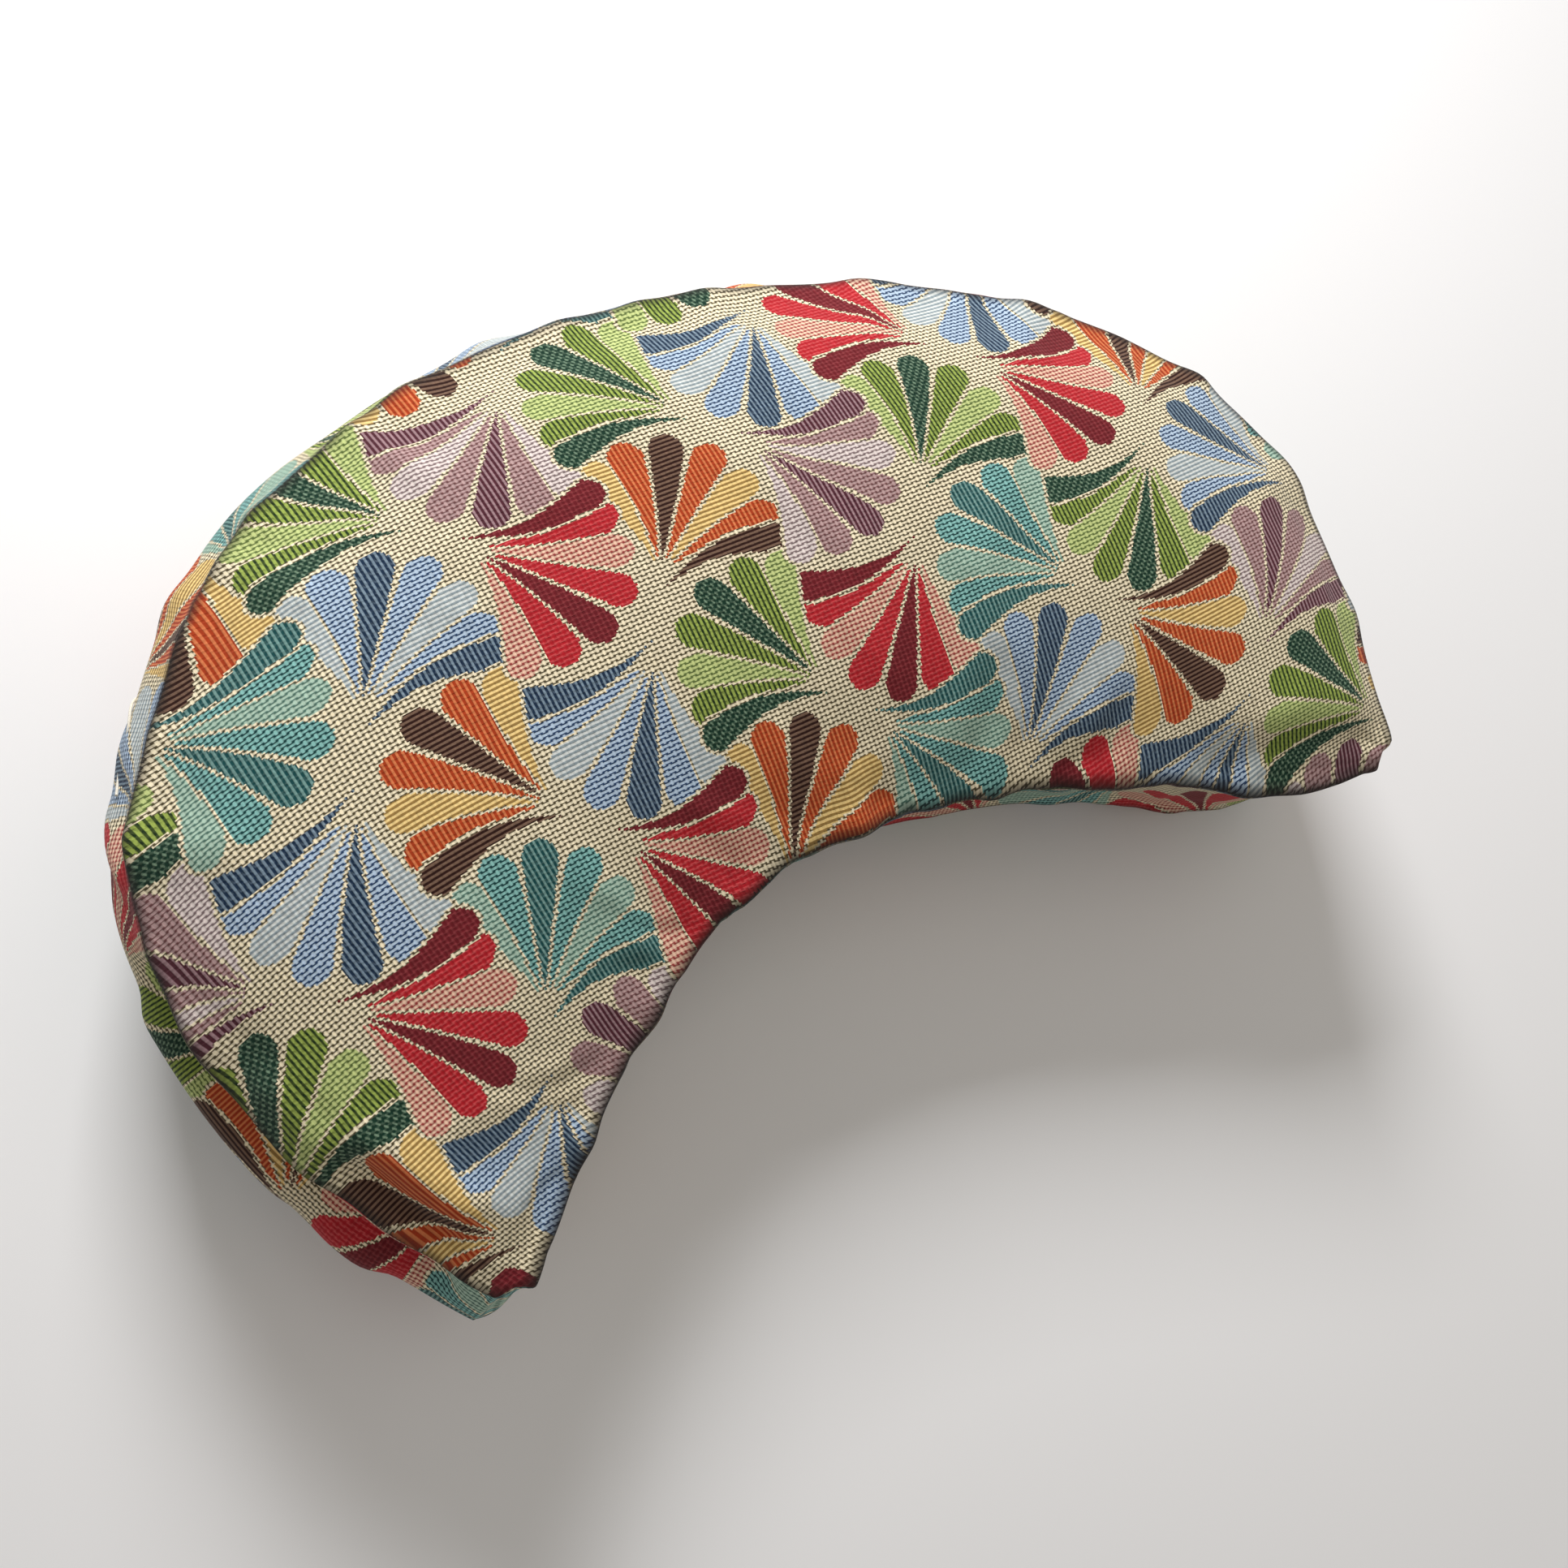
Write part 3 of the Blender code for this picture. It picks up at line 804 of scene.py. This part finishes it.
def cover_mesh():
    """The filled cover with its drawn-in seams, puckers and folds."""
    places, quads, sides = case_grid()
    along, across, up = places.T
    points = filled_points(along, ease_to_ends(across), ease_to_ends(up))
    mesh = bpy.data.meshes.new("cover")
    mesh.from_pydata(points.tolist(), [], quads.tolist())
    normals = point_normals(mesh)
    line, depths = seam_lines()
    away, nearest = nearest_seam(points, line)
    groove = SEAM_GROOVE_DEPTH * bell(away, SEAM_GROOVE_WIDTH) + depths[nearest] * bell(away, PUCKER_REACH)
    points = points + cloth_wrinkles(mesh, np.clip(groove / SEAM_GROOVE_DEPTH, 0.0, 1.0))
    groove = groove + CREASE_DEPTH * bell(away, CREASE_WIDTH)
    move = np.where(points[:, 2] > 0.2 * MM, -groove, 0.0)
    move += np.where(up == 1.0, panel_fold_rise(points), 0.0)
    move += np.where(up > 0.0, band_fold_rise(points), 0.0)
    lie_map(mesh, places, points, quads, sides)
    seam_map(mesh, along, quads, away, 2 * nearest >= len(line))
    points = points + normals * move[:, None]
    points[:, 2] = np.maximum(points[:, 2], 0.0)
    mesh.vertices.foreach_set("co", points.ravel())
    mesh.shade_smooth()
    mesh.update()
    return mesh


def thread_mesh():
    """A round thread along the places of LOOSE_THREAD."""
    along, up, off = np.array(LOOSE_THREAD).T
    points = filled_points(along, np.zeros_like(along), up)
    outward = off * MM + band_fold_rise(points)
    points[:, :2] += square_off(along, 0) * outward[:, None]
    curve = bpy.data.curves.new("thread_path", "CURVE")
    curve.dimensions = "3D"
    curve.bevel_depth = THREAD_RADIUS
    curve.bevel_resolution = 3
    curve.use_fill_caps = True
    spline = curve.splines.new("NURBS")
    spline.points.add(len(points) - 1)
    spline.points.foreach_set("co", np.column_stack((points, np.ones(len(points)))).ravel())
    spline.use_endpoint_u = True
    spline.order_u = 4
    path = bpy.data.objects.new("thread_path", curve)
    bpy.context.scene.collection.objects.link(path)
    mesh = bpy.data.meshes.new_from_object(path.evaluated_get(bpy.context.evaluated_depsgraph_get()))
    bpy.data.objects.remove(path)
    mesh.shade_smooth()
    return mesh


def thread_look():
    """Pale cotton thread with a soft twist, its colour darkened and lightened by a noise as painted shade and light
    of the twist.
    """
    material = plain_material("sewing_thread_look", (0.78, 0.73, 0.62, 1.0), 0.8)
    shading = Shading(material.node_tree)
    place = shading.nodes.new("ShaderNodeTexCoord")
    twist = shading.noise(place.outputs["Object"], 2500.0, 1.0)
    shader = shading.nodes["Principled BSDF"]
    # Painted shade and light: the noise mixes a darker and a paler cream into the thread's colour, as the twist would
    # be lit
    shading.feed(shader.inputs["Base Color"], shading.blend(twist, (0.55, 0.50, 0.40, 1.0), (0.95, 0.91, 0.80, 1.0)))
    bump = shading.nodes.new("ShaderNodeBump")
    bump.inputs["Strength"].default_value = 0.5
    bump.inputs["Distance"].default_value = 0.2 * MM
    shading.feed(bump.inputs["Height"], twist)
    shading.feed(shader.inputs["Normal"], bump.outputs["Normal"])
    return material


def add_piece(name, mesh, material):
    """Links a new object of this mesh and material to the scene."""
    piece = bpy.data.objects.new(name, mesh)
    piece.data.materials.append(material)
    bpy.context.scene.collection.objects.link(piece)
    return piece


def plain_material(name, colour, roughness):
    """A material of one colour."""
    material = bpy.data.materials.new(name)
    material.use_nodes = True
    shader = material.node_tree.nodes["Principled BSDF"]
    shader.inputs["Base Color"].default_value = colour
    shader.inputs["Roughness"].default_value = roughness
    return material


def add_camera():
    """The photo's viewpoint: from above the bay, with the frame turned about the line of sight."""
    azimuth = math.radians(-79.93)
    elevation = math.radians(76.0)
    roll = math.radians(50.0)
    distance = 0.6221
    target = Vector((-0.0007, -0.0431, 0.06))
    back = Vector((
        math.sin(azimuth) * math.cos(elevation),
        -math.cos(azimuth) * math.cos(elevation),
        math.sin(elevation),
    ))
    right = Vector((math.cos(azimuth), math.sin(azimuth), 0.0))
    upward = back.cross(right)
    turned_right = right * math.cos(roll) + upward * math.sin(roll)
    turned_up = upward * math.cos(roll) - right * math.sin(roll)
    camera = bpy.data.objects.new("camera", bpy.data.cameras.new("camera"))
    camera.data.sensor_width = 36.0
    camera.data.lens = 38.88
    turn = Matrix((turned_right, turned_up, back)).transposed().to_4x4()
    camera.matrix_world = Matrix.Translation(target + back * distance) @ turn
    bpy.context.scene.collection.objects.link(camera)
    bpy.context.scene.camera = camera


def add_light(name, place, size, power, colour):
    """A soft rectangular light that points at the cushion."""
    data = bpy.data.lights.new(name, "AREA")
    data.shape = "SQUARE"
    data.size = size
    data.energy = power
    data.color = colour
    light = bpy.data.objects.new(name, data)
    light.location = place
    light.rotation_euler = Vector(place).to_track_quat("Z", "Y").to_euler()
    bpy.context.scene.collection.objects.link(light)


def add_stage():
    """Pale floor, soft lights and a pale surround."""
    side = 6.0
    corners = [(-side, -side, 0.0), (side, -side, 0.0), (side, side, 0.0), (-side, side, 0.0)]
    mesh = bpy.data.meshes.new("floor")
    mesh.from_pydata(corners, [], [(0, 1, 2, 3)])
    floor = add_piece("floor", mesh, plain_material("floor_paint", (0.93, 0.93, 0.93, 1.0), 0.6))
    add_light("key_light", (0.26, 0.85, 0.75), 0.40, 13.5, (0.98, 0.98, 1.0))
    add_light("fill_light", (0.6, -0.1, 1.9), 1.4, 4.2, (1.0, 0.93, 0.84))
    world = bpy.data.worlds.new("studio")
    world.use_nodes = True
    world.node_tree.nodes["Background"].inputs["Color"].default_value = (1.0, 0.96, 0.91, 1.0)
    world.node_tree.nodes["Background"].inputs["Strength"].default_value = 0.30
    bpy.context.scene.world = world
    bpy.context.scene.view_settings.view_transform = "Standard"


def main():
    """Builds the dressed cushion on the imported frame."""
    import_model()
    cover = add_piece("cover", cover_mesh(), cloth_look())
    smooth = cover.modifiers.new("smooth", "SUBSURF")
    smooth.levels = 1
    smooth.render_levels = 1
    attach(cover, "root")
    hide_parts("cushion")
    thread = add_piece("loose_thread", thread_mesh(), thread_look())
    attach(thread, "root")
    add_camera()
    add_stage()
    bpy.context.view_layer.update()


main()
